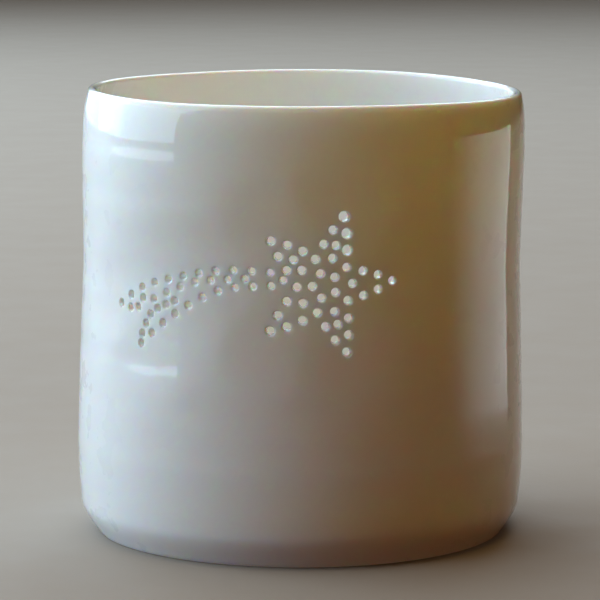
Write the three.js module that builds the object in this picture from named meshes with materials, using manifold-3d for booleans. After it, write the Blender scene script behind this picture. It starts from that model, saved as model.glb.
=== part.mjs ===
// A thrown porcelain tealight holder, pierced with a shooting star, with a tealight standing in it.
//
// Units are millimetres and +Z is up. The origin is the middle of the flat base, on the surface
// that the holder stands on. The pierced star is on the -Y side, the front.

import * as THREE from 'three';
import { mergeVertices } from 'three/addons/utils/BufferGeometryUtils.js';
import Module from 'manifold-3d';

const wasm = await Module();
wasm.setup();

// The holder: a thin thrown cylinder, widest low down, with a slight waist and a softly rounded rim.
const holderHeight = 80;
const bellyRadius = 40.5;
const bellyHeight = 16;
const waistInset = 0.9;        // how far the waist is drawn in from the belly
const waistDrop = 30;          // waist, below the rim
const shoulderInset = 0.65;
const shoulderDrop = 10;       // shoulder, below the rim
const rimInset = 1.25;
const wallAtFoot = 2.3;
const wallAtRim = 1.5;
const floorThickness = 3;
const innerCornerRadius = 6;   // where the wall meets the floor inside
const footChamferHeight = 3.9;
const footInset = 3.25;        // edge of the flat base, in from the belly
const arrisInset = 0.8;        // top of the foot chamfer, in from the belly

// What the hand and the kiln left: the wall leans a little and the rim isn't quite level.
const rimLean = 0.85;          // sideways, at the rim
const rimTilt = 0.4;           // rise of the rim on its left side
const rimWave = 0.18;          // rise of the rim at front and back

// The shooting star, pierced through the wall. Places on the wall are lengths round it from the
// front, positive to the right, and heights above the middle of the star.
const starAcross = 3.95;
const starDrop = 30.4;         // middle of the star, below the rim
const armAngles = [75, 2, -71, -140, 141];
const tipReach = 12.2;
const pairReach = 9.6;
const pairSpread = 7.5;        // degrees either side of the arm
const flankReach = 7.1;
const flankSpread = 17.5;
const filledArms = [0, 2, 4];  // arms with one more hole between the flanks
const ringReach = 4.85;
const ringCount = 10;
const heartReach = 2.2;
const heartCount = 5;
const ringTurn = 3;            // degrees
const starHoleRadius = 0.8;
const wideHoleRadius = 0.95;   // right-hand side of the top arm
const tailHoleRadius = 0.7;

// The tail: rows of evenly spaced holes along curves, from the star to the forked end.
const tailRows = [
  { count: 11, curve: row([-9.5, 2.2], [-18.2, 2.3], [-28.4, 0.2], [-34.7, -1.7], [-40.7, -5.2]) },
  { count: 7, curve: row([-13.9, 1], [-23.5, -0.1], [-32.1, -3.6]) },
  { count: 10, curve: row([-9.3, -0.1], [-18.3, -1.1], [-27.4, -5.9], [-34.9, -11.6]) },
  { count: 6, curve: row([-27.4, -3.6], [-32.4, -6], [-34.7, -9.9]) },
  { count: 3, curve: row([-34.7, -3.7], [-35.9, -5.4], [-38, -5.7]) },
];
const tailRoot = [-7.2, 0.9];  // single hole where the tail meets the star

// The tealight: an aluminium cup, and a candle moulded round its wick and sustainer.
const tinRadius = 19;
const tinHeight = 15.5;
const tinWall = 0.4;
const tinCornerRadius = 1.5;
const lipOverhang = 0.7;
const lipHeight = 1;
const waxDepth = 12;
const waxEdgeRadius = 0.8;
const wickRadius = 0.8;
const wickAboveWax = 6.5;
const sustainerRadius = 6;
const sustainerThickness = 0.4;
const collarWall = 0.35;
const collarHeight = 4;

// Clearances between pieces that touch or nest.
const seatGap = 0.3;
const nestGap = 0.3;

// Fineness of the round shapes.
const wallSides = 56;
const tealightSides = 36;
const sustainerSides = 24;
const wickSides = 10;
const drillSides = 8;
const roundSteps = 3;

const waistRadius = bellyRadius - waistInset;
const starHeight = holderHeight - starDrop;
const tinBase = floorThickness + seatGap;
const candleBase = tinBase + tinWall + seatGap;
const waxTop = candleBase + waxDepth;

function row(...points) {
  return new THREE.SplineCurve(points.map(([across, up]) => new THREE.Vector2(across, up)));
}

// Points of a quarter or part round, from one angle to another in degrees, both ends included.
function arc(centreX, centreY, radius, fromDegrees, toDegrees) {
  const from = THREE.MathUtils.degToRad(fromDegrees);
  const to = THREE.MathUtils.degToRad(toDegrees);
  const curve = new THREE.EllipseCurve(centreX, centreY, radius, radius, from, to, to < from);
  return curve.getPoints(roundSteps);
}

function point(radius, height) {
  return new THREE.Vector2(radius, height);
}

// A closed body of revolution about Z, with shared vertices merged and the flat
// triangles at its poles dropped.
function turned(profile, sides) {
  const lathe = new THREE.LatheGeometry(profile, sides);
  lathe.rotateX(Math.PI / 2);
  return welded(lathe);
}

function welded(geometry) {
  geometry.deleteAttribute('normal');
  geometry.deleteAttribute('uv');
  const merged = mergeVertices(geometry);
  const corners = merged.index.array;
  const kept = [];
  for (let i = 0; i < corners.length; i += 3) {
    const [a, b, c] = corners.slice(i, i + 3);
    if (a !== b && b !== c && c !== a) kept.push(a, b, c);
  }
  merged.setIndex(kept);
  return merged;
}

function toSolid(geometry) {
  const mesh = new wasm.Mesh({
    numProp: 3,
    vertProperties: new Float32Array(geometry.attributes.position.array),
    triVerts: new Uint32Array(geometry.index.array),
  });
  return new wasm.Manifold(mesh);
}

function toGeometry(solid) {
  const mesh = solid.getMesh();
  const geometry = new THREE.BufferGeometry();
  geometry.setAttribute('position', new THREE.BufferAttribute(mesh.vertProperties, 3));
  geometry.setIndex(new THREE.BufferAttribute(mesh.triVerts, 1));
  geometry.computeVertexNormals();
  return geometry;
}

function part(name, geometry, material) {
  const mesh = new THREE.Mesh(geometry, material);
  mesh.name = name;
  return mesh;
}

// Wall thickness at a height: it thins evenly from foot to rim.
function wallAt(height) {
  return THREE.MathUtils.lerp(wallAtFoot, wallAtRim, height / holderHeight);
}

// The stations that the wall's curve passes through, from the foot chamfer to the rim.
function wallStations() {
  return [
    point(bellyRadius - arrisInset, footChamferHeight),
    point(bellyRadius, bellyHeight),
    point(waistRadius, holderHeight - waistDrop),
    point(bellyRadius - shoulderInset, holderHeight - shoulderDrop),
    point(bellyRadius - rimInset, holderHeight - wallAtRim / 2),
  ];
}

function holderProfile() {
  const outerSteps = 9;
  const innerSteps = 5;
  const stations = wallStations();
  const outside = new THREE.SplineCurve(stations).getSpacedPoints(outerSteps);
  const rimMiddle = stations.at(-1).x - wallAtRim / 2;
  const rim = arc(rimMiddle, holderHeight - wallAtRim / 2, wallAtRim / 2, 0, 180);
  const inside = new THREE.SplineCurve(
    stations.map((station) => point(station.x - wallAt(station.y), station.y)),
  ).getSpacedPoints(innerSteps);
  const cornerTop = floorThickness + innerCornerRadius;
  const innerWall = inside.filter((place) => place.y > cornerTop).reverse();
  const cornerMiddle = bellyRadius - wallAt(bellyHeight) - innerCornerRadius;
  const corner = arc(cornerMiddle, cornerTop, innerCornerRadius, 0, -90);
  return [
    point(0, 0),
    point(bellyRadius - footInset, 0),
    ...outside,
    ...rim.slice(1),
    ...innerWall.slice(1),
    ...corner,
    point(0, floorThickness),
  ];
}

// Leans the wall and lifts the rim, more and more towards the top. The base stays flat.
function settle(geometry) {
  const place = geometry.attributes.position;
  for (let i = 0; i < place.count; i += 1) {
    const rise = place.getZ(i) / holderHeight;
    const turn = Math.atan2(place.getY(i), place.getX(i));
    const lift = -rimTilt * Math.cos(turn) - rimWave * Math.cos(2 * turn);
    place.setX(i, place.getX(i) + rimLean * rise ** 2);
    place.setZ(i, place.getZ(i) + lift * rise ** 3);
  }
}

// Every pierced hole: its place on the wall from the middle of the star, and its radius.
function starHoles() {
  const holes = [];
  const drill = (degrees, reach, radius = starHoleRadius) => {
    const turn = THREE.MathUtils.degToRad(degrees);
    holes.push({ across: reach * Math.cos(turn), up: reach * Math.sin(turn), radius });
  };
  armAngles.forEach((arm, index) => {
    const rightRadius = index === 0 ? wideHoleRadius : starHoleRadius;
    drill(arm, tipReach, rightRadius);
    drill(arm - pairSpread, pairReach, rightRadius);
    drill(arm + pairSpread, pairReach);
    drill(arm - flankSpread, flankReach, rightRadius);
    drill(arm + flankSpread, flankReach);
    if (filledArms.includes(index)) drill(arm, flankReach);
  });
  for (let i = 0; i < ringCount; i += 1) drill(ringTurn + (i * 360) / ringCount, ringReach);
  for (let i = 0; i < heartCount; i += 1) drill(ringTurn + ((i + 0.5) * 360) / heartCount, heartReach);
  return holes;
}

function tailHoles() {
  const holes = tailRows.flatMap(({ count, curve }) => curve.getSpacedPoints(count - 1));
  holes.push(new THREE.Vector2(...tailRoot));
  return holes.map((place) => ({ across: place.x, up: place.y, radius: tailHoleRadius }));
}

// A straight drill through the wall, square to it.
function drillBit({ across, up, radius }) {
  const length = 4 * wallAtFoot;
  const bit = new THREE.CylinderGeometry(radius, radius, length, drillSides);
  bit.translate(0, -waistRadius, starHeight + up);
  bit.rotateZ((starAcross + across) / waistRadius);
  return toSolid(welded(bit));
}

function porcelainHolder() {
  const clay = turned(holderProfile(), wallSides);
  settle(clay);
  const bits = [...starHoles(), ...tailHoles()].map(drillBit);
  const drills = bits.reduce((joined, bit) => joined.add(bit));
  const glazed = new THREE.MeshStandardMaterial({ color: 0xf3f0e8, roughness: 0.18, metalness: 0 });
  return part('porcelain_holder', toGeometry(toSolid(clay).subtract(drills)), glazed);
}

function tealightCup() {
  const top = tinBase + tinHeight;
  const profile = [
    point(0, tinBase),
    ...arc(tinRadius - tinCornerRadius, tinBase + tinCornerRadius, tinCornerRadius, -90, 0),
    point(tinRadius, top - lipHeight),
    point(tinRadius + lipOverhang, top - lipHeight),
    point(tinRadius + lipOverhang, top),
    point(tinRadius - tinWall, top),
    ...arc(
      tinRadius - tinCornerRadius,
      tinBase + tinCornerRadius,
      tinCornerRadius - tinWall,
      0,
      -90,
    ),
    point(0, tinBase + tinWall),
  ];
  const aluminium = new THREE.MeshStandardMaterial({ color: 0xc9cacc, roughness: 0.32, metalness: 1 });
  return part('tealight_cup', turned(profile, tealightSides), aluminium);
}

function candleWax() {
  const radius = tinRadius - tinWall - nestGap;
  const footRound = tinCornerRadius;
  const recessRadius = sustainerRadius + nestGap;
  const recessTop = candleBase + sustainerThickness + nestGap;
  const collarRecess = wickRadius + nestGap + collarWall + nestGap;
  const collarTop = candleBase + collarHeight + nestGap;
  const wickHole = wickRadius + nestGap;
  const profile = [
    point(recessRadius, candleBase),
    ...arc(radius - footRound, candleBase + footRound, footRound, -90, 0),
    ...arc(radius - waxEdgeRadius, waxTop - waxEdgeRadius, waxEdgeRadius, 0, 90),
    point(wickHole, waxTop),
    point(wickHole, collarTop),
    point(collarRecess, collarTop),
    point(collarRecess, recessTop),
    point(recessRadius, recessTop),
    point(recessRadius, candleBase),
  ];
  const wax = new THREE.MeshStandardMaterial({ color: 0xf4f1e6, roughness: 0.45, metalness: 0 });
  return part('candle_wax', turned(profile, tealightSides), wax);
}

function wickSustainer() {
  const bore = wickRadius + nestGap;
  const profile = [
    point(bore, candleBase),
    point(sustainerRadius, candleBase),
    point(sustainerRadius, candleBase + sustainerThickness),
    point(bore + collarWall, candleBase + sustainerThickness),
    point(bore + collarWall, candleBase + collarHeight),
    point(bore, candleBase + collarHeight),
    point(bore, candleBase),
  ];
  const tinplate = new THREE.MeshStandardMaterial({ color: 0xb9bab8, roughness: 0.35, metalness: 1 });
  return part('wick_sustainer', turned(profile, sustainerSides), tinplate);
}

function wick() {
  const top = waxTop + wickAboveWax;
  const profile = [
    point(0, candleBase),
    point(wickRadius, candleBase),
    point(wickRadius, top - wickRadius / 2),
    point(wickRadius / 2, top),
    point(0, top),
  ];
  const cotton = new THREE.MeshStandardMaterial({ color: 0xece6d6, roughness: 0.9, metalness: 0 });
  return part('wick', turned(profile, wickSides), cotton);
}

const candle = new THREE.Group();
candle.add(candleWax(), wickSustainer(), wick());

const tealight = new THREE.Group();
tealight.add(tealightCup(), candle);

const tealightHolder = new THREE.Group();
tealightHolder.add(porcelainHolder(), tealight);

export default tealightHolder;
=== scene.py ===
"""Looks of a thrown porcelain tealight holder, pierced with a shooting star, and of the tealight in it.

Lengths are metres, +Z is up and the pierced star is on the -Y side. Every piece is drawn as an
outline and turned round Z, as a potter or a spinner would, then worked on by hand tools.
"""

import math

import bmesh
import bpy
from bpy.props import FloatProperty, FloatVectorProperty, IntProperty, PointerProperty
from bpy.types import Operator, Panel, PropertyGroup
from mathutils import Matrix, Vector


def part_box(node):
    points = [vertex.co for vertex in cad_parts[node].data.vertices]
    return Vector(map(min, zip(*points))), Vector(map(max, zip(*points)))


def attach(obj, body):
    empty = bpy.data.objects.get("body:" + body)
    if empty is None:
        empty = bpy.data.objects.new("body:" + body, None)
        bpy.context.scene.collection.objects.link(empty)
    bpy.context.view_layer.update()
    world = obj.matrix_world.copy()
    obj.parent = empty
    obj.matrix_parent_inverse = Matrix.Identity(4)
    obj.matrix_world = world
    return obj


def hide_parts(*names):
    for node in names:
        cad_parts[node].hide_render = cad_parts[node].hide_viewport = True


bl_info = {
    "name": "Pierced Tealight Holder",
    "version": (1, 0, 0),
    "blender": (4, 5, 0),
    "location": "3D View > Sidebar > Tealight Holder",
    "description": "Models a pierced porcelain tealight holder, its tealight and a plain studio",
    "category": "Add Mesh",
}

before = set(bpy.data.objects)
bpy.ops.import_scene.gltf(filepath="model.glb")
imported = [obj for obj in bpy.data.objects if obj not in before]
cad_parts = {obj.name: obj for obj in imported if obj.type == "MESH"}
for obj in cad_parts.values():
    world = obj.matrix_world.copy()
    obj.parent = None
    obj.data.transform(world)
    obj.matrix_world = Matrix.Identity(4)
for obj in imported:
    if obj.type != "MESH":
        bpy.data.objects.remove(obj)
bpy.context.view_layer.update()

MM = 0.001
TURN = 2 * math.pi
HOLDER_LO, HOLDER_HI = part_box("porcelain_holder")
CUP_LO, CUP_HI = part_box("tealight_cup")
WAX_LO, WAX_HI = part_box("candle_wax")
WICK_LO, WICK_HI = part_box("wick")
SUSTAINER_LO, SUSTAINER_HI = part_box("wick_sustainer")
WELD = 0.001 * MM

# Half angle in degrees of the part of the rim that each lift takes hold of, and how far it spreads.
RIM_GRIP = 14
RIM_SPREAD = 34 * MM
# Where the rim rises or sinks in drying, as (across, along, lift).
RIM_LIFTS = (
    (-1, 0, 0.5 * MM),
    (0, 1, 0.32 * MM),
    (0, -1, 0.32 * MM),
    (1, 0, -0.3 * MM),
)
RIM_TILT = -0.18 * MM

# How near a hole the whole dent reaches, and how far it fades out from there.
DENT_REACH = 1.5 * MM
DENT_SPREAD = 12 * MM
# The part of a quarter circle that the edge of a hole takes, and the steps round a hole.
FLARE_SWEEP = 76
FLARE_STEPS = 6
HOLE_SIDES = 22
SHARP_EDGE = math.radians(18)

# Half section of the cup's pressed base, as radius and height in mm, and how the sustainer's
# plate is pressed, as radius and rise in mm.
CUP_BASE = ((0, 0.25), (6, 0.25), (10.6, 0.25), (11.1, 0.125), (11.6, 0), (14, 0))
PLATE_RIB = ((3.2, 0), (3.5, 0.12), (4.1, 0.12), (4.4, 0))

# Twist of the wick.
WICK_STEPS = 74
WICK_STEP_TURN = math.radians(17)
WICK_STRANDS = 3

# Height of the cards that only the glaze shows.
CARD_HEIGHT = 70 * MM

# The pierced star, as reach from its middle in mm and angles in degrees.
ARM_ANGLES = (75, 2, -71, -140, 141)
TIP_REACH = 12.2
PAIR_REACH, PAIR_SPREAD = 9.6, 7.5
FLANK_REACH, FLANK_SPREAD = 7.1, 17.5
FILLED_ARMS = (0, 2, 4)
RING_REACH, RING_COUNT = 4.85, 10
HEART_REACH, HEART_COUNT = 2.2, 5
RING_TURN = 3

# The comet tail: rows of evenly spaced holes, as the number of holes and a few points that the
# row passes through, in mm from the middle of the star.
TAIL_ROWS = (
    (11, ((-9.5, 2.2), (-18.2, 2.3), (-28.4, 0.2), (-34.7, -1.7), (-40.7, -5.2))),
    (7, ((-13.9, 1), (-23.5, -0.1), (-32.1, -3.6))),
    (10, ((-9.3, -0.1), (-18.3, -1.1), (-27.4, -5.9), (-34.9, -11.6))),
    (6, ((-27.4, -3.6), (-32.4, -6), (-34.7, -9.9))),
    (3, ((-34.7, -3.7), (-35.9, -5.4), (-38, -5.7))),
)
TAIL_ROOT = (-7.2, 0.9)


def length(name, description, default):
    """A length property, which shows in the units of the scene."""
    return FloatProperty(
        name=name, description=description, default=default, min=0, precision=5,
        subtype="DISTANCE", unit="LENGTH",
    )


def colour(name, description, default):
    """A linear colour property."""
    return FloatVectorProperty(
        name=name, description=description, default=default, size=4, min=0, max=1,
        subtype="COLOR",
    )


class HolderSizes(PropertyGroup):
    """Sizes of the porcelain holder."""

    height: length("Height", "Height of the rim above the table", 80 * MM)
    belly: length("Belly radius", "Outer radius where the wall is widest", HOLDER_HI.y)
    wall_foot: length("Wall at the foot", "Thickness of the wall low down", 2.3 * MM)
    wall_rim: length("Wall at the rim", "Thickness of the wall at the rim", 1.55 * MM)
    floor: length("Floor", "Thickness of the floor", 3 * MM)
    ring_depth: length("Throwing rings", "Depth of the throwing rings", 0.02 * MM)
    unevenness: length("Unevenness", "Depth of the hand's marks between the rings", 0.1 * MM)
    lean: length("Lean", "How far the rim leans to the right", 0.85 * MM)
    dent: length("Dent", "How far the wall is pressed in round the pierced holes", 0.48 * MM)
    star_across: length("Star across", "Middle of the star, round the wall from the front", 3.95 * MM)
    star_drop: length("Star drop", "Middle of the star, below the rim", 30.4 * MM)
    star_hole: length("Star hole", "Radius of the holes in the star", 0.7 * MM)
    wide_hole: length("Wide star hole", "Radius of the widest holes in the star", 0.85 * MM)
    tail_hole: length("Tail hole", "Radius of the holes in the tail", 0.6 * MM)
    hole_round: length("Hole rounding", "Radius of the glazed edge of each hole", 0.32 * MM)
    sides: IntProperty(
        name="Sides", description="Steps round the wall", default=320, min=32, max=720,
    )


class TealightSizes(PropertyGroup):
    """Sizes of the tealight."""

    foil: length("Foil", "Thickness of the aluminium cup", 0.22 * MM)
    roll: length("Rolled lip", "Radius of the cup's rolled lip", 0.42 * MM)
    meniscus: length("Meniscus", "How far the wax climbs the cup and the wick", 0.5 * MM)
    strand: length("Strand", "Radius of one strand of the wick", 0.36 * MM)
    sheet: length("Tin plate", "Thickness of the sustainer's plate", 0.28 * MM)
    sides: IntProperty(
        name="Sides", description="Steps round the cup and the wax", default=128, min=24, max=360,
    )


class Finishes(PropertyGroup):
    """Colours of the finishes."""

    porcelain: colour("Porcelain", "Glazed white porcelain", (0.9675, 0.960, 0.934, 1))
    biscuit: colour("Biscuit", "Unglazed porcelain under the foot", (0.78, 0.74, 0.67, 1))
    aluminium: colour("Aluminium", "Foil of the cup", (0.83, 0.84, 0.86, 1))
    wax: colour("Wax", "White paraffin wax", (0.88, 0.86, 0.79, 1))
    cotton: colour("Cotton", "Waxed cotton of the wick", (0.80, 0.76, 0.66, 1))
    tinplate: colour("Tin plate", "Tin plate of the sustainer", (0.66, 0.67, 0.67, 1))


class StudioSettings(PropertyGroup):
    """The camera, the floor and the lights."""

    camera_distance: length("Camera distance", "From the axis of the holder, level", 630.5 * MM)
    camera_height: length("Camera height", "Above the table", 135.1 * MM)
    camera_pitch: FloatProperty(
        name="Camera pitch", description="Tilt of the camera below level",
        default=math.radians(8.46), subtype="ANGLE", unit="ROTATION",
    )
    lens: FloatProperty(
        name="Lens", description="Focal length in mm on a sensor 36 mm wide", default=210.6,
    )
    floor: colour("Floor", "Pale floor", (0.34, 0.285, 0.24, 1))
    window: colour("Window light", "Cool light from the left", (0.64, 0.84, 1.0, 1))
    room: colour("Room light", "Warm light from the room", (1.0, 0.66, 0.28, 1))
    sheen: colour("Sheen", "Pale light seen in the glaze", (0.82, 0.92, 1.0, 1))
    air: colour("Air", "Dim light of the room from all round", (0.03, 0.016, 0.006, 1))
    table_sheen: colour("Table sheen", "Light from low on the left", (0.5, 0.57, 0.64, 1))
    table_shade: colour("Table shade", "Light from low elsewhere", (0.062, 0.03, 0.012, 1))


# Hand tools


def deselect_all():
    """Leaves every object unselected, in object mode."""
    if bpy.context.object and bpy.context.object.mode != "OBJECT":
        bpy.ops.object.mode_set(mode="OBJECT")
    bpy.ops.object.select_all(action="DESELECT")


def pick(piece):
    """Makes one object the only selected and the active one."""
    deselect_all()
    piece.select_set(True)
    bpy.context.view_layer.objects.active = piece


def edit(piece):
    """Opens a piece in edit mode with nothing selected."""
    pick(piece)
    bpy.ops.object.mode_set(mode="EDIT")
    bpy.ops.mesh.select_mode(type="VERT")
    bpy.ops.mesh.select_all(action="DESELECT")


def select_points(piece, test):
    """Selects the vertices whose place passes a test, in edit mode."""
    bpy.ops.mesh.select_mode(type="VERT")
    bpy.ops.mesh.select_all(action="DESELECT")
    mesh = bmesh.from_edit_mesh(piece.data)
    for vertex in mesh.verts:
        if test(vertex.co):
            vertex.select_set(True)
    mesh.select_flush_mode()
    bmesh.update_edit_mesh(piece.data)


def select_faces(piece, test):
    """Selects the faces that pass a test on their middle and normal, in edit mode."""
    bpy.ops.mesh.select_mode(type="FACE")
    bpy.ops.mesh.select_all(action="DESELECT")
    mesh = bmesh.from_edit_mesh(piece.data)
    for face in mesh.faces:
        face.select_set(test(face.calc_center_median(), face.normal))
    bmesh.update_edit_mesh(piece.data)


def done(piece):
    """Leaves edit mode, smooths the shading and fixes the piece's place in its mesh."""
    pick(piece)
    bpy.ops.object.transform_apply(location=True, rotation=True, scale=True)
    bpy.ops.object.shade_smooth()
    return piece


def turn(name, outline, sides):
    """Draws an outline of (radius, height) points vertex by vertex and spins it into a closed body."""
    deselect_all()
    bpy.ops.mesh.primitive_plane_add(size=MM)
    piece = bpy.context.object
    piece.name = name
    piece.data.name = name
    bpy.ops.object.mode_set(mode="EDIT")
    bpy.ops.mesh.select_mode(type="VERT")
    bpy.ops.mesh.select_all(action="SELECT")
    bpy.ops.mesh.merge(type="CENTER")
    places = [Vector((radius, 0, height)) for radius, height in outline]
    bpy.ops.transform.translate(value=places[0])
    for before, after in zip(places, places[1:]):
        bpy.ops.mesh.extrude_region_move(TRANSFORM_OT_translate={"value": after - before})
    bpy.ops.mesh.select_all(action="SELECT")
    bpy.ops.mesh.spin(steps=sides, angle=TURN, center=(0, 0, 0), axis=(0, 0, 1))
    bpy.ops.mesh.select_all(action="SELECT")
    bpy.ops.mesh.remove_doubles(threshold=WELD)
    bpy.ops.mesh.normals_make_consistent(inside=False)
    bpy.ops.object.mode_set(mode="OBJECT")
    return piece


def apply_modifier(piece, kind, **settings):
    """Adds a modifier, sets it and applies it."""
    pick(piece)
    bpy.ops.object.modifier_add(type=kind)
    modifier = piece.modifiers[-1]
    for key, value in settings.items():
        setattr(modifier, key, value)
    bpy.ops.object.modifier_apply(modifier=modifier.name)


def arc(centre_x, centre_y, radius, start, end, steps):
    """Points of a part circle between two angles in degrees, both ends included."""
    points = []
    for step in range(steps + 1):
        angle = math.radians(start + (end - start) * step / steps)
        points.append((centre_x + radius * math.cos(angle), centre_y + radius * math.sin(angle)))
    return points


def smooth_path(points, steps=40):
    """Close points on a smooth curve through a few given ones."""
    path = [Vector(point) for point in points]
    padded = [path[0], *path, path[-1]]
    close = []
    for before, start, end, after in zip(padded, padded[1:], padded[2:], padded[3:]):
        for step in range(steps):
            t = step / steps
            leave = (end - before) / 2
            arrive = (after - start) / 2
            close.append(
                start
                + leave * t
                + (3 * (end - start) - 2 * leave - arrive) * t**2
                + (2 * (start - end) + leave + arrive) * t**3
            )
    close.append(path[-1])
    return close


def evenly(points, count):
    """That many points, evenly spaced along a smooth curve through a few given ones."""
    close = smooth_path(points)
    lengths = [0.0]
    for before, after in zip(close, close[1:]):
        lengths.append(lengths[-1] + (after - before).length)
    spaced = []
    index = 0
    for step in range(count):
        target = lengths[-1] * step / (count - 1)
        while index < len(close) - 2 and lengths[index + 1] < target:
            index += 1
        share = (target - lengths[index]) / (lengths[index + 1] - lengths[index])
        spaced.append(close[index].lerp(close[index + 1], share))
    return spaced


# Finishes


def new_material(name, colour_value, roughness):
    """A node material, with its node tree, its shader and its object coordinates."""
    material = bpy.data.materials.new(name)
    material.use_nodes = True
    material.diffuse_color = colour_value
    nodes = material.node_tree.nodes
    shader = nodes["Principled BSDF"]
    shader.inputs["Base Color"].default_value = colour_value
    shader.inputs["Roughness"].default_value = roughness
    place = nodes.new("ShaderNodeTexCoord").outputs["Object"]
    return material, shader, place


def add_node(shader, kind, sources=None, **settings):
    """Adds a node beside the shader, with its settings and what feeds its inputs."""
    tree = shader.id_data
    node = tree.nodes.new(kind)
    for key, value in settings.items():
        setattr(node, key, value)
    for key, value in (sources or {}).items():
        if isinstance(value, bpy.types.NodeSocket):
            tree.links.new(value, node.inputs[key])
        else:
            node.inputs[key].default_value = value
    return node


def noise(shader, place, scale, detail=2.0, stretch=(1, 1, 1)):
    """Soft noise, stretched along the axes where asked."""
    mapping = add_node(shader, "ShaderNodeMapping", {"Vector": place, "Scale": stretch})
    sources = {"Vector": mapping.outputs["Vector"], "Scale": scale, "Detail": detail}
    return add_node(shader, "ShaderNodeTexNoise", sources).outputs["Fac"]


def between(shader, factor, low, high):
    """A value that runs from low to high as the factor runs from 0.3 to 0.7."""
    sources = {"Value": factor, "From Min": 0.3, "From Max": 0.7, "To Min": low, "To Max": high}
    return add_node(shader, "ShaderNodeMapRange", sources).outputs["Result"]


def blend(shader, factor, first, second):
    """A colour that runs from the first to the second as the factor runs from 0 to 1."""
    mix = add_node(shader, "ShaderNodeMix", data_type="RGBA")
    links = shader.id_data.links
    for key, value in (("Factor", factor), ("A", first), ("B", second)):
        if isinstance(value, bpy.types.NodeSocket):
            links.new(value, mix.inputs[key])
        else:
            mix.inputs[key].default_value = value
    return mix.outputs["Result"]


def tint(shader, factor, first, second):
    """Feeds the shader a colour mixed from two by a factor."""
    shader.id_data.links.new(blend(shader, factor, first, second), shader.inputs["Base Color"])


def rough(shader, factor, low, high):
    """Roughness that varies between two values."""
    shader.id_data.links.new(between(shader, factor, low, high), shader.inputs["Roughness"])


def bump(shader, height, distance, strength=1.0, under=None):
    """A bump of a given depth in metres, over another one if there is one."""
    sources = {"Height": height, "Distance": distance, "Strength": strength}
    if under is not None:
        sources["Normal"] = under
    normal = add_node(shader, "ShaderNodeBump", sources).outputs["Normal"]
    shader.id_data.links.new(normal, shader.inputs["Normal"])
    return normal


def shade(colour_value, factor):
    """The same colour, lighter or darker."""
    return (*(min(1, channel * factor) for channel in colour_value[:3]), 1)


def porcelain_finish(colours):
    """Thin glazed porcelain: light soaks through it warmly under a clear, faintly wavy glaze."""
    base = tuple(colours.porcelain)
    material, shader, place = new_material("glazed_porcelain", base, 0.3)
    shader.subsurface_method = "RANDOM_WALK"
    shader.inputs["Subsurface Weight"].default_value = 1.0
    shader.inputs["Subsurface Radius"].default_value = (1.0, 0.63, 0.36)
    shader.inputs["Subsurface Scale"].default_value = 1.8 * MM
    shader.inputs["IOR"].default_value = 1.5
    shader.inputs["Specular IOR Level"].default_value = 0.1
    shader.inputs["Coat Weight"].default_value = 1.0
    shader.inputs["Coat Roughness"].default_value = 0.03
    shader.inputs["Coat IOR"].default_value = 1.5
    clouds = noise(shader, place, 25, 1)
    tint(shader, clouds, base, shade(base, 0.995))
    rough(shader, noise(shader, place, 160, 4), 0.24, 0.36)
    rings = bump(shader, noise(shader, place, 55, 2, (0.12, 0.12, 2.2)), 0.045 * MM)
    waves = bump(shader, noise(shader, place, 60, 1), 0.03 * MM, under=rings)
    bump(shader, noise(shader, place, 1500, 2), 0.004 * MM, under=waves)
    return material


def biscuit_finish(colours):
    """Bare fired porcelain, fine and dry, sponged smooth under the foot."""
    base = tuple(colours.biscuit)
    material, shader, place = new_material("biscuit_porcelain", base, 0.8)
    tint(shader, noise(shader, place, 300, 6), base, shade(base, 0.9))
    rough(shader, noise(shader, place, 900, 4), 0.68, 0.88)
    grain = bump(shader, noise(shader, place, 4200, 4), 0.03 * MM)
    sources = {"Vector": place, "Scale": 180.0, "Distortion": 1.5, "Detail": 2.0}
    rings = add_node(
        shader, "ShaderNodeTexWave", sources, wave_type="RINGS", rings_direction="Z"
    )
    bump(shader, rings.outputs["Fac"], 0.03 * MM, 0.5, under=grain)
    return material


def aluminium_finish(colours):
    """Drawn aluminium foil with fine lines round the cup and soft smudges."""
    base = tuple(colours.aluminium)
    material, shader, place = new_material("aluminium_foil", base, 0.3)
    shader.inputs["Metallic"].default_value = 1.0
    rough(shader, noise(shader, place, 420, 5), 0.2, 0.38)
    tint(shader, noise(shader, place, 260, 3), base, shade(base, 0.93))
    lines = bump(shader, noise(shader, place, 900, 3, (0.08, 0.08, 3)), 0.02 * MM)
    bump(shader, noise(shader, place, 240, 2), 0.05 * MM, under=lines)
    return material


def wax_finish(colours):
    """White paraffin wax: milky, softly mottled, with a dull shine."""
    base = tuple(colours.wax)
    material, shader, place = new_material("paraffin_wax", base, 0.4)
    shader.subsurface_method = "RANDOM_WALK"
    shader.inputs["Subsurface Weight"].default_value = 1.0
    shader.inputs["Subsurface Radius"].default_value = (1.0, 0.8, 0.55)
    shader.inputs["Subsurface Scale"].default_value = 2.5 * MM
    shader.inputs["IOR"].default_value = 1.43
    sources = {"Vector": place, "Scale": 520.0, "Randomness": 1.0}
    voronoi = add_node(shader, "ShaderNodeTexVoronoi", sources, feature="SMOOTH_F1")
    flakes = voronoi.outputs["Distance"]
    tint(shader, flakes, base, shade(base, 0.93))
    rough(shader, noise(shader, place, 500, 4), 0.32, 0.5)
    pits = bump(shader, flakes, 0.02 * MM)
    bump(shader, noise(shader, place, 260, 3), 0.08 * MM, under=pits)
    return material


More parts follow.
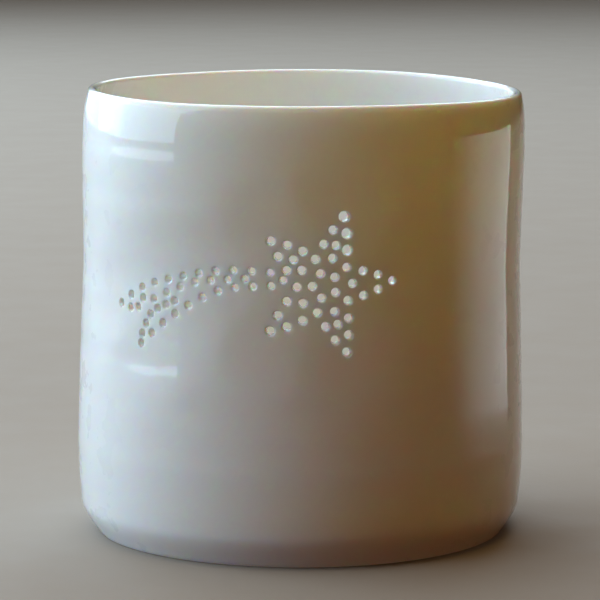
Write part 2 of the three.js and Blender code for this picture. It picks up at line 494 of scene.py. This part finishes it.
def cotton_finish(colours):
    """Cotton yarn stiffened with wax."""
    base = tuple(colours.cotton)
    material, shader, place = new_material("waxed_cotton", base, 0.62)
    shader.inputs["Sheen Weight"].default_value = 0.3
    fibres = noise(shader, place, 2600, 4, (1, 1, 0.35))
    tint(shader, fibres, base, shade(base, 0.78))
    rough(shader, noise(shader, place, 1500, 3), 0.5, 0.75)
    bump(shader, fibres, 0.08 * MM)
    return material


def tinplate_finish(colours):
    """Thin tin plate with a stamped, slightly scratched skin."""
    base = tuple(colours.tinplate)
    material, shader, place = new_material("tin_plate", base, 0.35)
    shader.inputs["Metallic"].default_value = 1.0
    tint(shader, noise(shader, place, 700, 4), base, shade(base, 0.86))
    rough(shader, noise(shader, place, 1200, 4), 0.26, 0.44)
    bump(shader, noise(shader, place, 1800, 3, (1, 0.1, 1)), 0.02 * MM)
    return material


def floor_finish(colour_value):
    """Pale matt floor with a faint grain."""
    base = tuple(colour_value)
    material, shader, place = new_material("pale_floor", base, 0.8)
    shader.inputs["Specular IOR Level"].default_value = 0.2
    tint(shader, noise(shader, place, 14, 4), base, shade(base, 0.95))
    rough(shader, noise(shader, place, 60, 4), 0.74, 0.88)
    bump(shader, noise(shader, place, 420, 3), 0.05 * MM)
    return material


# The porcelain holder


def wall_stations(sizes):
    """The places that the outside of the wall passes through, from the foot up."""
    top = sizes.height
    belly = sizes.belly
    return [
        (belly - 1.75 * MM, 2.6 * MM),
        (belly - 0.95 * MM, 4.1 * MM),
        (belly - 0.5 * MM, 6.3 * MM),
        (belly, 16 * MM),
        (belly - 0.55 * MM, top - 42 * MM),
        (belly - 0.92 * MM, top - 30 * MM),
        (belly - 0.68 * MM, top - 18 * MM),
        (belly - 0.62 * MM, top - 10 * MM),
        (belly - 0.84 * MM, top - 4 * MM),
        (belly - 1.3 * MM, top - 1.2 * MM),
    ]


def ripple(height, sizes):
    """Depth of the throwing rings at a height, fading out at the foot and the rim."""
    coarse = math.sin(TURN * height / (7.3 * MM))
    fine = 0.5 * math.sin(TURN * height / (4.1 * MM) + 1.3)
    fade = min(1, max(0, height - 5 * MM) / (8 * MM), max(0, sizes.height - height) / (6 * MM))
    return sizes.ring_depth * fade * (coarse + fine)


def wall_thickness(height, sizes):
    """The wall thins evenly from the foot to the rim."""
    return sizes.wall_foot + (sizes.wall_rim - sizes.wall_foot) * height / sizes.height


def holder_outline(sizes):
    """Half section of the holder: base, foot chamfer, wall, rim, inside wall and floor."""
    top = sizes.height
    stations = wall_stations(sizes)
    base_radius = sizes.belly - 3.5 * MM
    base = [(base_radius * step / 5, 0) for step in range(5)]
    base_edge = arc(base_radius - 0.2 * MM, 0.5 * MM, 0.5 * MM, -90, -38, 4)
    foot = Vector(base_edge[-1])
    chamfer = [tuple(foot.lerp(Vector(stations[0]), share)) for share in (0.25, 0.5, 0.75)]
    outside = evenly(stations, 92)
    wall = [(point.x + ripple(point.y, sizes), point.y) for point in outside]
    rim_radius = sizes.wall_rim / 2
    rim_middle = stations[-1][0] - 0.12 * MM - rim_radius
    rim = arc(rim_middle, top - rim_radius, rim_radius, 25, 180, 12)
    inner_stations = [
        (radius - wall_thickness(height, sizes), height) for radius, height in stations[3:-1]
    ]
    corner_radius = 6 * MM
    corner_top = sizes.floor + corner_radius
    corner_middle = inner_stations[0][0] - corner_radius
    inner_stations.insert(0, (corner_middle + corner_radius, corner_top + 0.5 * MM))
    inside = [
        (point.x + 0.6 * ripple(point.y + 2 * MM, sizes), point.y)
        for point in reversed(evenly(inner_stations, 52))
    ]
    corner = arc(corner_middle, corner_top, corner_radius, 0, -90, 12)
    floor = [(corner_middle * share, sizes.floor) for share in (0.8, 0.6, 0.4, 0.2, 0)]
    return base + base_edge + chamfer + wall + rim + inside + corner + floor


def move_nearby(value, falloff, reach):
    """Moves the selected points, and their neighbours less and less as far as the reach."""
    bpy.ops.transform.translate(
        value=value, use_proportional_edit=True, proportional_edit_falloff=falloff,
        proportional_size=reach,
    )


def settle(holder, sizes):
    """Leans the rim, tips it and lifts its front and back, as drying and firing do."""
    top = sizes.height
    grip = math.cos(math.radians(RIM_GRIP))
    edit(holder)
    select_points(holder, lambda place: place.z > top - 0.3 * MM)
    move_nearby((sizes.lean, 0, RIM_TILT), "SHARP", top)
    for across, along, lift in RIM_LIFTS:
        side = Vector((across, along))

        def on_that_side(place, side=side):
            """Whether a place is on the rim and on the side that moves."""
            return place.z > top - 1.2 * MM and place.xy.normalized().dot(side) > grip

        select_points(holder, on_that_side)
        move_nearby((0, 0, lift), "SMOOTH", RIM_SPREAD)
    bpy.ops.object.mode_set(mode="OBJECT")


def star_holes(sizes):
    """Place, round the wall and up from the middle of the star, and radius of each star hole."""
    holes = []

    def drill(degrees, reach, radius=sizes.star_hole):
        """Notes one hole."""
        angle = math.radians(degrees)
        holes.append((reach * MM * math.cos(angle), reach * MM * math.sin(angle), radius))

    for index, arm in enumerate(ARM_ANGLES):
        outer = sizes.wide_hole if index == 0 else sizes.star_hole
        drill(arm, TIP_REACH, outer)
        drill(arm - PAIR_SPREAD, PAIR_REACH, outer)
        drill(arm + PAIR_SPREAD, PAIR_REACH)
        drill(arm - FLANK_SPREAD, FLANK_REACH, outer)
        drill(arm + FLANK_SPREAD, FLANK_REACH)
        if index in FILLED_ARMS:
            drill(arm, FLANK_REACH)
    for step in range(RING_COUNT):
        drill(RING_TURN + step * 360 / RING_COUNT, RING_REACH)
    for step in range(HEART_COUNT):
        drill(RING_TURN + (step + 0.5) * 360 / HEART_COUNT, HEART_REACH)
    return holes


def tail_holes(sizes, rows):
    """The same for some rows of the tail."""
    return [
        (place.x * MM, place.y * MM, sizes.tail_hole)
        for count, points in rows
        for place in evenly(points, count)
    ]


def wall_radius_at_star(sizes):
    """Outer radius of the wall at the height of the star."""
    return sizes.belly - 0.92 * MM


def drill_bit(sizes, radius):
    """A drill whose ends flare like the glazed edges of a hole, laid along Y through the wall."""
    flare = sizes.hole_round
    past_wall = 2 * MM
    wall = wall_thickness(sizes.height - sizes.star_drop, sizes)
    wide = radius + flare * (1 - math.cos(math.radians(FLARE_SWEEP)))
    outline = [(0, past_wall), (wide, past_wall)]
    outline += arc(radius + flare, -flare, flare, 180 - FLARE_SWEEP, 180, FLARE_STEPS)
    outline += arc(radius + flare, flare - wall, flare, 180, 180 + FLARE_SWEEP, FLARE_STEPS)
    outline += [(wide, -wall - past_wall), (0, -wall - past_wall)]
    bit = turn("drill_bit", outline, HOLE_SIDES)
    edit(bit)
    bpy.ops.mesh.select_all(action="SELECT")
    bpy.ops.transform.translate(value=(0, 0, wall_radius_at_star(sizes) - sizes.dent))
    bpy.ops.object.mode_set(mode="OBJECT")
    bit.data.transform(Matrix.Rotation(math.pi / 2, 4, "X"))
    return bit


def pierce(holder, sizes, holes):
    """Drills holes through the wall, square to it, in one cut."""
    radius = wall_radius_at_star(sizes)
    middle = sizes.height - sizes.star_drop
    bits = {}
    copies = []
    for across, up, size in holes:
        if size not in bits:
            bits[size] = drill_bit(sizes, size)
        copy = bits[size].copy()
        copy.data = bits[size].data.copy()
        bpy.context.collection.objects.link(copy)
        angle = (sizes.star_across + across) / radius
        lean = sizes.lean * ((middle + up) / sizes.height) ** 2
        copy.data.transform(
            Matrix.Translation((lean, 0, middle + up)) @ Matrix.Rotation(angle, 4, "Z")
        )
        copies.append(copy)
    for bit in bits.values():
        bpy.data.objects.remove(bit)
    deselect_all()
    for copy in copies:
        copy.select_set(True)
    bpy.context.view_layer.objects.active = copies[0]
    bpy.ops.object.join()
    drills = bpy.context.object
    apply_modifier(holder, "BOOLEAN", object=drills, operation="DIFFERENCE", solver="MANIFOLD")
    bpy.data.objects.remove(drills)


def dent(holder, sizes, holes):
    """Presses the wall in towards its axis a little, all along the pierced pattern."""
    radius = wall_radius_at_star(sizes)
    middle = sizes.height - sizes.star_drop
    places = [Vector((sizes.star_across + across, middle + up)) for across, up, _ in holes]

    def near_a_hole(place):
        """Whether a place on the wall is close to one of the holes."""
        if place.y > 0 or place.xy.length < radius / 2:
            return False
        spot = Vector((math.atan2(place.x, -place.y) * radius, place.z))
        return any((spot - hole).length < DENT_REACH for hole in places)

    edit(holder)
    select_points(holder, near_a_hole)
    share = 1 - sizes.dent / radius
    bpy.ops.transform.resize(
        value=(share, share, 1), center_override=(0, 0, middle), use_proportional_edit=True,
        use_proportional_connected=True, proportional_edit_falloff="SMOOTH",
        proportional_size=DENT_SPREAD,
    )
    bpy.ops.object.mode_set(mode="OBJECT")


def sharpen(piece):
    """Keeps the shading of the wall apart from that of the hole edges."""
    edit(piece)
    bpy.ops.mesh.select_mode(type="EDGE")
    bpy.ops.mesh.edges_select_sharp(sharpness=SHARP_EDGE)
    bpy.ops.mesh.mark_sharp()
    bpy.ops.object.mode_set(mode="OBJECT")


def unsettle_surface(holder, sizes):
    """Lays the hand's uneven marks on the wall, drawn out round it."""
    edit(holder)
    select_points(holder, lambda place: 6 * MM < place.z < sizes.height - 3 * MM)
    bpy.ops.object.vertex_group_add()
    holder.vertex_groups[-1].name = "wall"
    bpy.ops.object.vertex_group_assign()
    bpy.ops.object.mode_set(mode="OBJECT")
    deselect_all()
    bpy.ops.object.empty_add()
    stretch = bpy.context.object
    stretch.scale = (90 * MM, 90 * MM, 11 * MM)
    clouds = bpy.data.textures.new("throwing_marks", type="CLOUDS")
    clouds.noise_scale = 1
    clouds.noise_depth = 1
    apply_modifier(
        holder, "DISPLACE", texture=clouds, texture_coords="OBJECT",
        texture_coords_object=stretch, strength=sizes.unevenness, mid_level=0.5,
        vertex_group="wall",
    )
    bpy.data.objects.remove(stretch)
    bpy.data.textures.remove(clouds)
    holder.vertex_groups.clear()


class TEALIGHT_OT_porcelain_holder(Operator):
    """Throws, settles and pierces the porcelain holder"""

    bl_idname = "mesh.porcelain_holder"
    bl_label = "Porcelain Holder"

    def execute(self, context):
        sizes = context.scene.holder_sizes
        colours = context.scene.finishes
        holder = turn("pierced_porcelain", holder_outline(sizes), sizes.sides)
        unsettle_surface(holder, sizes)
        settle(holder, sizes)
        star = star_holes(sizes)
        root = [(TAIL_ROOT[0] * MM, TAIL_ROOT[1] * MM, sizes.tail_hole)]
        outer_rows = tail_holes(sizes, TAIL_ROWS[0::2])
        inner_rows = tail_holes(sizes, TAIL_ROWS[1::2])
        dent(holder, sizes, star + root + outer_rows + inner_rows)
        pierce(holder, sizes, star + outer_rows)
        pierce(holder, sizes, root + inner_rows)
        holder.data.materials.clear()
        holder.data.materials.append(porcelain_finish(colours))
        holder.data.materials.append(biscuit_finish(colours))
        edit(holder)
        select_faces(holder, lambda place, normal: place.z < 0.1 * MM and normal.z < -0.9)
        holder.active_material_index = 1
        bpy.ops.object.material_slot_assign()
        sharpen(holder)
        done(holder)
        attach(holder, "holder")
        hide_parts("porcelain_holder")
        return {"FINISHED"}


# The tealight


def cup_outline(sizes):
    """Half section of the aluminium cup: pressed base, wall, rolled lip and the same inside."""
    base = CUP_LO.z
    top = CUP_HI.z
    foil = sizes.foil
    roll = sizes.roll
    wall = CUP_HI.x - 2 * roll + foil
    corner = 1.3 * MM
    lip_middle = wall + roll - foil
    wall_top = top - roll
    straight = wall_top - base - corner
    shares = (0.2, 0.4, 0.6, 0.8)
    pressed = [(radius * MM, base + height * MM) for radius, height in CUP_BASE]
    outline = list(pressed)
    outline += arc(wall - corner, base + corner, corner, -90, 0, 8)
    outline += [(wall, base + corner + straight * share) for share in shares]
    outline += arc(lip_middle, wall_top, roll - foil, 180, -60, 12)
    outline += arc(lip_middle, wall_top, roll, -60, 180, 14)
    outline += [(wall - foil, base + corner + straight * share) for share in reversed(shares)]
    outline += arc(wall - corner, base + corner, corner - foil, 0, -90, 8)
    outline += [(radius, height + foil) for radius, height in reversed(pressed)]
    return outline


def wax_outline(sizes):
    """Closed half section of the wax, with a recess for the sustainer and a hole for the wick."""
    bottom = WAX_LO.z
    top = WAX_HI.z
    radius = WAX_HI.x + 0.15 * MM
    climb = sizes.meniscus
    recess = SUSTAINER_HI.x + 0.2 * MM
    collar = 1.45 * MM
    wick = WICK_HI.y + 0.05 * MM
    outline = [(recess, bottom)]
    outline += arc(radius - 1.5 * MM, bottom + 1.5 * MM, 1.5 * MM, -90, 0, 8)
    outline += [(radius, bottom + (top - bottom) * share) for share in (0.4, 0.6, 0.8)]
    outline += arc(radius - 0.25 * MM, top + climb - 0.25 * MM, 0.25 * MM, 0, 120, 4)
    reach = radius - 0.5 * MM - wick
    for step in range(30):
        share = (step + 1) / 30
        edge = math.exp(-share * reach / (0.9 * MM))
        heart = math.exp(-(1 - share) * reach / (1.3 * MM))
        hollow = 0.35 * MM * math.sin(math.pi * share) ** 2
        height = top - hollow * 0.5 + climb * edge + 1.2 * climb * heart
        outline.append((wick + reach * (1 - share), height))
    outline += [(wick, SUSTAINER_HI.z + 0.4 * MM), (collar, SUSTAINER_HI.z + 0.3 * MM)]
    outline += [(collar, bottom + 0.7 * MM), (recess, bottom + 0.6 * MM), (recess, bottom)]
    return outline


def sustainer_outline(sizes):
    """Closed half section of the sustainer: pressed disc and collar."""
    bottom = SUSTAINER_LO.z
    top = SUSTAINER_HI.z
    plate = sizes.sheet
    radius = SUSTAINER_HI.x
    bore = WICK_HI.y + 0.1 * MM
    fillet = 0.4 * MM
    rib = [(reach * MM, bottom + rise * MM) for reach, rise in PLATE_RIB]
    outline = [(bore, bottom), *rib]
    outline += arc(radius - plate / 2, bottom + plate / 2, plate / 2, -90, 90, 6)
    outline += [(reach, height + plate) for reach, height in reversed(rib)]
    outline += arc(bore + plate + fillet, bottom + plate + fillet, fillet, 270, 180, 4)
    outline.append((bore + plate, top - plate))
    outline += arc(bore + plate / 2, top - plate / 2, plate / 2, 0, 180, 6)
    outline.append((bore, bottom))
    return outline


def twist_wick(sizes):
    """Three strands twisted together: a clover section drawn up with a little turn at each step."""
    deselect_all()
    strand = sizes.strand
    bpy.ops.mesh.primitive_circle_add(
        vertices=10 * WICK_STRANDS, radius=WICK_HI.y - strand, fill_type="NGON",
        location=(0, 0, WICK_LO.z),
    )
    wick = bpy.context.object
    wick.name = "wick_yarn"
    wick.data.name = "wick_yarn"
    bpy.ops.object.transform_apply(location=True, rotation=True, scale=True)
    edit(wick)
    for lobe in range(WICK_STRANDS):
        angle = lobe * TURN / WICK_STRANDS
        towards = Vector((math.cos(angle), math.sin(angle)))

        def in_the_lobe(place, towards=towards):
            """Whether a place round the section belongs to this strand."""
            return place.xy.normalized().dot(towards) > 0.62

        select_points(wick, in_the_lobe)
        bpy.ops.transform.translate(value=(*(towards * strand * 0.75), 0))
    bpy.ops.mesh.select_all(action="SELECT")
    rise = (WICK_HI.z - WICK_LO.z) / WICK_STEPS
    for step in range(WICK_STEPS):
        bpy.ops.mesh.extrude_region_move(TRANSFORM_OT_translate={"value": (0, 0, rise)})
        bpy.ops.transform.rotate(
            value=WICK_STEP_TURN, orient_axis="Z", center_override=(0, 0, 0)
        )
        if step > WICK_STEPS - 5:
            bpy.ops.transform.resize(value=(0.84, 0.84, 1), center_override=(0, 0, WICK_HI.z))
    bpy.ops.mesh.select_all(action="SELECT")
    bpy.ops.mesh.normals_make_consistent(inside=False)
    select_points(wick, lambda place: place.z > WICK_HI.z - 0.2 * MM)
    move_nearby((0.9 * MM, -0.5 * MM, -0.3 * MM), "SHARP", 6.3 * MM)
    bpy.ops.object.mode_set(mode="OBJECT")
    return wick


class TEALIGHT_OT_aluminium_cup(Operator):
    """Presses the tealight's aluminium cup"""

    bl_idname = "mesh.aluminium_cup"
    bl_label = "Aluminium Cup"

    def execute(self, context):
        sizes = context.scene.tealight_sizes
        cup = turn("aluminium_cup", cup_outline(sizes), sizes.sides)
        cup.data.materials.append(aluminium_finish(context.scene.finishes))
        done(cup)
        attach(cup, "tealight_tin")
        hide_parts("tealight_cup")
        return {"FINISHED"}


class TEALIGHT_OT_candle(Operator):
    """Pours the wax and makes the wick and its sustainer"""

    bl_idname = "mesh.tealight_candle"
    bl_label = "Candle"

    def execute(self, context):
        sizes = context.scene.tealight_sizes
        colours = context.scene.finishes
        wax = turn("poured_wax", wax_outline(sizes), sizes.sides)
        wax.data.materials.append(wax_finish(colours))
        done(wax)
        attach(wax, "candle")
        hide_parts("candle_wax")
        sustainer = turn("sustainer_plate", sustainer_outline(sizes), sizes.sides // 2)
        sustainer.data.materials.append(tinplate_finish(colours))
        done(sustainer)
        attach(sustainer, "candle")
        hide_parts("wick_sustainer")
        wick = twist_wick(sizes)
        wick.data.materials.append(cotton_finish(colours))
        done(wick)
        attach(wick, "candle")
        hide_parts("wick")
        return {"FINISHED"}


# The studio


def area_light(name, place, aim, width, height, radiance, tone):
    """A rectangular light that faces a point, as bright as asked whatever its size."""
    deselect_all()
    bpy.ops.object.light_add(type="AREA", location=place)
    light = bpy.context.object
    light.name = name
    light.data.shape = "RECTANGLE"
    light.data.size = width
    light.data.size_y = height
    light.data.energy = math.pi * width * height * radiance
    light.data.color = tone[:3]
    way = aim - Vector(place)
    light.rotation_euler = way.to_track_quat("-Z", "Y").to_euler()
    light.visible_camera = False
    return light


def soft_light(name, place, width, height, radiance, tone):
    """A large soft light that faces the middle of the holder."""
    middle = Vector((0, 0, (HOLDER_LO.z + HOLDER_HI.z) / 2))
    area_light(name, place, middle, width, height, radiance, tone)


def soft_step(shader, value, start, end):
    """A value that rises smoothly from 0 to 1 between two others."""
    sources = {"Value": value, "From Min": start, "From Max": end}
    step = add_node(shader, "ShaderNodeMapRange", sources, interpolation_type="SMOOTHSTEP")
    return step.outputs["Result"]


def glaze_light(name, start, end, radiance, tone):
    """An upright pale card near the holder, from one spot on the floor to another. It shows only
    as a stripe in the glaze, and fades out at its foot and towards one side."""
    start = Vector(start)
    end = Vector(end)
    place = (*((start + end) / 2), CARD_HEIGHT / 2)
    aim = Vector((0, 0, CARD_HEIGHT / 2))
    light = area_light(name, place, aim, (end - start).length, CARD_HEIGHT, radiance, tone)
    light.visible_diffuse = False
    light.data.use_nodes = True
    glow = light.data.node_tree.nodes["Emission"]
    spot = add_node(glow, "ShaderNodeNewGeometry").outputs["Parametric"]
    card = add_node(glow, "ShaderNodeSeparateXYZ", {"Vector": spot})
    across = soft_step(glow, card.outputs["X"], 0, 0.5)
    up = soft_step(glow, card.outputs["Y"], 0, 0.25)
    both = add_node(glow, "ShaderNodeMath", {0: across, 1: up}, operation="MULTIPLY")
    glow.id_data.links.new(both.outputs["Value"], glow.inputs["Strength"])


def room_air(air, sheen, below):
    """The dim light of the room: warm, a little stronger from below, with a cool sheen from low
    on the left, where a table would catch the window."""
    world = bpy.data.worlds.new("room_air")
    world.use_nodes = True
    background = world.node_tree.nodes["Background"]
    place = add_node(background, "ShaderNodeTexCoord").outputs["Generated"]
    way = add_node(background, "ShaderNodeSeparateXYZ", {"Vector": place}).outputs
    low = blend(background, soft_step(background, way["X"], -1, -0.6), sheen, below)
    light = blend(background, soft_step(background, way["Z"], -0.1, 0.1), low, air)
    world.node_tree.links.new(light, background.inputs["Color"])
    return world


class TEALIGHT_OT_studio(Operator):
    """Sets up the floor, the camera and the soft lights"""

    bl_idname = "scene.tealight_studio"
    bl_label = "Studio"

    def execute(self, context):
        studio = context.scene.studio_settings
        deselect_all()
        bpy.ops.mesh.primitive_plane_add(size=6)
        floor = context.object
        floor.name = "studio_floor"
        edit(floor)
        bpy.ops.mesh.select_all(action="SELECT")
        bpy.ops.mesh.subdivide(number_cuts=8)
        bpy.ops.object.mode_set(mode="OBJECT")
        floor.data.materials.append(floor_finish(studio.floor))
        # The floor throws no light back on the holder: the air below it stands for the table.
        floor.visible_diffuse = False
        floor.visible_shadow = False
        bpy.ops.object.camera_add(
            location=(0, -studio.camera_distance, studio.camera_height),
            rotation=(math.pi / 2 - studio.camera_pitch, 0, 0),
        )
        camera = context.object
        camera.data.lens = studio.lens
        camera.data.sensor_width = 36
        camera.data.clip_start = 0.01
        context.scene.camera = camera
        soft_light("window_side", (-0.90, 0.02, 0.90), 1.5, 1.2, 2.3, studio.window)
        soft_light("window_low", (-1.10, 0.20, 0.22), 1.4, 0.5, 3.2, studio.window)
        soft_light("window_corner", (-0.85, 0.85, 0.45), 1.3, 1.0, 2.0, studio.window)
        soft_light("window_back", (-0.12, 1.00, 0.86), 1.2, 1.0, 3.3, studio.window)
        soft_light("room_above", (0, 0.1, 1.3), 1.5, 1.5, 1.0, studio.room)
        glaze_light("glint_left", (-0.120, -0.029), (-0.082, 0.072), 0.15, studio.sheen)
        glaze_light("glint_right", (0.117, -0.048), (0.104, 0.055), 1.1, studio.sheen)
        context.scene.world = room_air(studio.air, studio.table_sheen, studio.table_shade)
        context.scene.view_settings.view_transform = "Standard"
        return {"FINISHED"}


class TEALIGHT_PT_panel(Panel):
    """Lists the pieces and their sizes"""

    bl_idname = "TEALIGHT_PT_panel"
    bl_label = "Tealight Holder"
    bl_space_type = "VIEW_3D"
    bl_region_type = "UI"
    bl_category = "Tealight Holder"

    def draw(self, context):
        layout = self.layout
        for operator in OPERATORS:
            layout.operator(operator.bl_idname)
        for group in (context.scene.holder_sizes, context.scene.tealight_sizes,
                      context.scene.finishes, context.scene.studio_settings):
            box = layout.box()
            for key in group.__annotations__:
                box.prop(group, key)


GROUPS = (HolderSizes, TealightSizes, Finishes, StudioSettings)
OPERATORS = (
    TEALIGHT_OT_porcelain_holder,
    TEALIGHT_OT_aluminium_cup,
    TEALIGHT_OT_candle,
    TEALIGHT_OT_studio,
)


def register():
    """Adds the settings, the operators and the panel."""
    for each in (*GROUPS, *OPERATORS, TEALIGHT_PT_panel):
        bpy.utils.register_class(each)
    bpy.types.Scene.holder_sizes = PointerProperty(type=HolderSizes)
    bpy.types.Scene.tealight_sizes = PointerProperty(type=TealightSizes)
    bpy.types.Scene.finishes = PointerProperty(type=Finishes)
    bpy.types.Scene.studio_settings = PointerProperty(type=StudioSettings)


def unregister():
    """Takes them away again."""
    del bpy.types.Scene.studio_settings
    del bpy.types.Scene.finishes
    del bpy.types.Scene.tealight_sizes
    del bpy.types.Scene.holder_sizes
    for each in reversed((*GROUPS, *OPERATORS, TEALIGHT_PT_panel)):
        bpy.utils.unregister_class(each)


def main():
    """Makes every piece and the studio."""
    register()
    bpy.ops.mesh.porcelain_holder()
    bpy.ops.mesh.aluminium_cup()
    bpy.ops.mesh.tealight_candle()
    bpy.ops.scene.tealight_studio()


if __name__ == "__main__":
    main()
